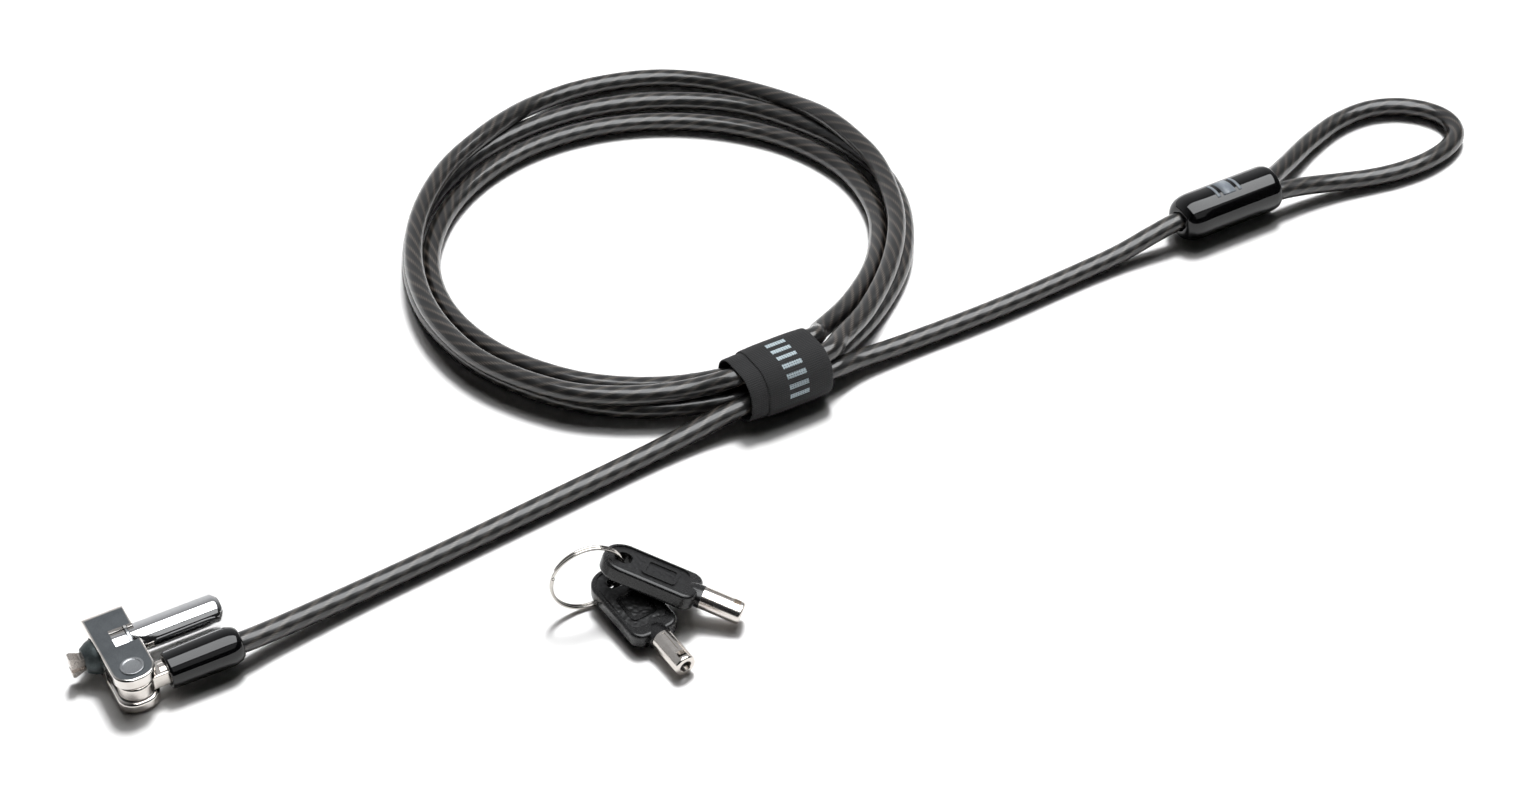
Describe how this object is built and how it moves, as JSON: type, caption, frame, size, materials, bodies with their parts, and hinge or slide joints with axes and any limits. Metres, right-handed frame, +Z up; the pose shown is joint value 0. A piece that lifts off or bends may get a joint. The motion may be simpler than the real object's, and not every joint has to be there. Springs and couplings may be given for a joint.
{
  "type": "laptop cable lock",
  "caption": "Keyed laptop cable lock: barrel lock head in a swivelling yoke, coiled coated steel cable with a sleeved end loop, hook-and-loop tie, and tubular keys on a split ring.",
  "frame": {"origin": "on the table, on the flat underside of the yoke, under its pivot pin", "axes": "+X along the lock barrel from its anchor tip towards its key end and out along the cable, +Y from the pivot pin towards the barrel, +Z up from the table"},
  "size_m": [0.4499, 0.2397, 0.0201],
  "materials": {
    "chrome": "polished chrome plate",
    "satin_steel": "satin, tumbled",
    "dark_metal": "dark grey satin",
    "brass": "machined",
    "nickel": "bright nickel plate",
    "gloss_black": "gloss moulded",
    "cable_jacket": "smoky translucent vinyl over steel strands",
    "tie_fabric": "woven hook-and-loop",
    "key_plastic": "satin, pebbled panel"
  },
  "bodies": {
    "cable": {"cable_eye": "chrome", "crimp_sleeve": "satin_steel", "cable_boot": "gloss_black", "cable_lead": "cable_jacket", "cable_coil": "cable_jacket", "cable_tail": "cable_jacket", "cable_loop": "cable_jacket", "loop_ferrule": "gloss_black", "loop_crimp": "satin_steel", "strap_outer": "tie_fabric", "strap_inner": "tie_fabric"},
    "yoke": {"swivel_bracket": "satin_steel", "bracket_badge": "satin_steel", "pivot_pin": "chrome"},
    "barrel": {"lock_barrel": "chrome", "retaining_clip": "satin_steel", "nose_hub": "dark_metal", "anchor_hook": "nickel", "plug_retainer": "brass"},
    "plug": {"lock_plug": "brass", "keyway_post": "nickel", "drive_spindle": "brass", "pin_spring_1": "nickel", "pin_spring_2": "nickel", "pin_spring_3": "nickel", "pin_spring_4": "nickel", "pin_spring_5": "nickel"},
    "blade": {"locking_blade": "nickel"},
    "pins": {"key_pin_1": "nickel", "key_pin_2": "nickel", "key_pin_3": "nickel", "key_pin_4": "nickel", "key_pin_5": "nickel"},
    "ring": {"split_ring": "nickel"},
    "key_1": {"key_1_head": "key_plastic", "key_1_tube": "nickel"},
    "key_2": {"key_2_head": "key_plastic", "key_2_tube": "nickel"}
  },
  "joints": [
    {"name": "yoke_pivot", "type": "hinge", "parent": "cable", "child": "yoke", "pos_m": [0, 0, 0.0057], "axis": [0, 0, 1], "range_deg": [-6, 180]},
    {"name": "barrel_swivel", "type": "hinge", "parent": "yoke", "child": "barrel", "pos_m": [0, 0.0134, 0.0057], "axis": [1, 0, 0], "continuous": true},
    {"name": "plug_turn", "type": "hinge", "parent": "barrel", "child": "plug", "pos_m": [0, 0.0134, 0.0057], "axis": [1, 0, 0], "range_deg": [0, 90]},
    {"name": "blade_slide", "type": "slide", "parent": "barrel", "child": "blade", "axis": [0, 0, 1], "range_m": [0, 0.0009]},
    {"name": "pins_press", "type": "slide", "parent": "plug", "child": "pins", "axis": [-1, 0, 0], "range_m": [0, 0.0012], "stiffness_N_per_m": 150},
    {"name": "keys_lift", "type": "slide", "parent": "cable", "child": "ring", "axis": [0, 0, 1], "range_m": [0, 0.03]},
    {"name": "key_1_swing", "type": "hinge", "parent": "ring", "child": "key_1", "pos_m": [0.1162, -0.0291, 0.0116], "axis": [0, 0, 1], "range_deg": [0, 60]},
    {"name": "key_2_swing", "type": "hinge", "parent": "ring", "child": "key_2", "pos_m": [0.1143, -0.0285, 0.0043], "axis": [0, 0, 1], "range_deg": [-20, 0]}
  ],
  "couplings": [
    {"joint": "plug_turn", "follows": "blade_slide", "rad_per_m": 1745.3}
  ]
}
